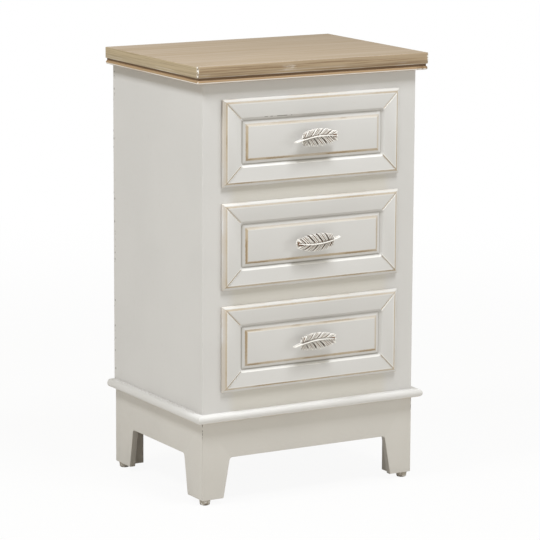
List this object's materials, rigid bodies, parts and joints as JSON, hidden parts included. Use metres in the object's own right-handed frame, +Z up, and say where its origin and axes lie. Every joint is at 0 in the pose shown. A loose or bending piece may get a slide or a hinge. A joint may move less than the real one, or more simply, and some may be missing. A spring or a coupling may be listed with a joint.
{
  "type": "three-drawer nightstand",
  "caption": "Slim painted nightstand with stacked sliding drawers, feather-shaped knobs, an oak-look top with a routed edge and a four-legged base.",
  "frame": {"origin": "on the floor, under the middle of the closed chest's outline, knobs included", "axes": "+X to the chest's right as it is faced, +Y to its back, +Z up; the drawers open along -Y"},
  "size_m": [0.4, 0.3134, 0.665],
  "materials": {
    "white_paint": "satin off-white paint, rubbed through to brown on edges and mouldings",
    "limed_oak": "matt limed oak, grain from left to right, darker in the groove",
    "raw_wood": "planed and unpainted",
    "plywood": "sanded and unpainted",
    "antiqued_white": "cream paint on cast metal, wiped with brown in the hollows",
    "steel": "plated, satin",
    "glide": "painted over roughly, with brown specks"
  },
  "bodies": {
    "root": {"side_panel_left": "white_paint", "side_panel_right": "white_paint", "face_stile_left": "white_paint", "face_stile_right": "white_paint", "face_rail_top": "white_paint", "face_rail_upper": "white_paint", "face_rail_lower": "white_paint", "face_rail_bottom": "white_paint", "apron_front": "white_paint", "apron_rear": "white_paint", "apron_left": "white_paint", "apron_right": "white_paint", "corner_block_front_left": "white_paint", "corner_block_front_right": "white_paint", "corner_block_rear_left": "white_paint", "corner_block_rear_right": "white_paint", "plinth_moulding_front": "white_paint", "plinth_moulding_left": "white_paint", "plinth_moulding_right": "white_paint", "top_board": "limed_oak", "back_panel": "plywood", "bottom_board": "plywood", "top_stretcher_front": "raw_wood", "top_stretcher_rear": "raw_wood", "drawer_kickers_left": "raw_wood", "drawer_kickers_right": "raw_wood", "upper_runner_left": "raw_wood", "upper_runner_right": "raw_wood", "middle_runner_left": "raw_wood", "middle_runner_right": "raw_wood", "lower_runner_left": "raw_wood", "lower_runner_right": "raw_wood", "foot_glides": "glide", "top_screws": "steel", "base_screws": "steel", "runner_screws": "steel", "back_nails": "steel"},
    "upper_drawer": {"upper_drawer_front": "white_paint", "upper_drawer_side_left": "raw_wood", "upper_drawer_side_right": "raw_wood", "upper_drawer_back": "raw_wood", "upper_drawer_bottom": "plywood", "upper_drawer_knob": "antiqued_white", "upper_drawer_knob_screw": "steel"},
    "middle_drawer": {"middle_drawer_front": "white_paint", "middle_drawer_side_left": "raw_wood", "middle_drawer_side_right": "raw_wood", "middle_drawer_back": "raw_wood", "middle_drawer_bottom": "plywood", "middle_drawer_knob": "antiqued_white", "middle_drawer_knob_screw": "steel"},
    "lower_drawer": {"lower_drawer_front": "white_paint", "lower_drawer_side_left": "raw_wood", "lower_drawer_side_right": "raw_wood", "lower_drawer_back": "raw_wood", "lower_drawer_bottom": "plywood", "lower_drawer_knob": "antiqued_white", "lower_drawer_knob_screw": "steel"}
  },
  "joints": [
    {"name": "upper_drawer_slide", "type": "slide", "parent": "root", "child": "upper_drawer", "axis": [0, -1, 0], "range_m": [0, 0.18]},
    {"name": "middle_drawer_slide", "type": "slide", "parent": "root", "child": "middle_drawer", "axis": [0, -1, 0], "range_m": [0, 0.18]},
    {"name": "lower_drawer_slide", "type": "slide", "parent": "root", "child": "lower_drawer", "axis": [0, -1, 0], "range_m": [0, 0.18]}
  ]
}
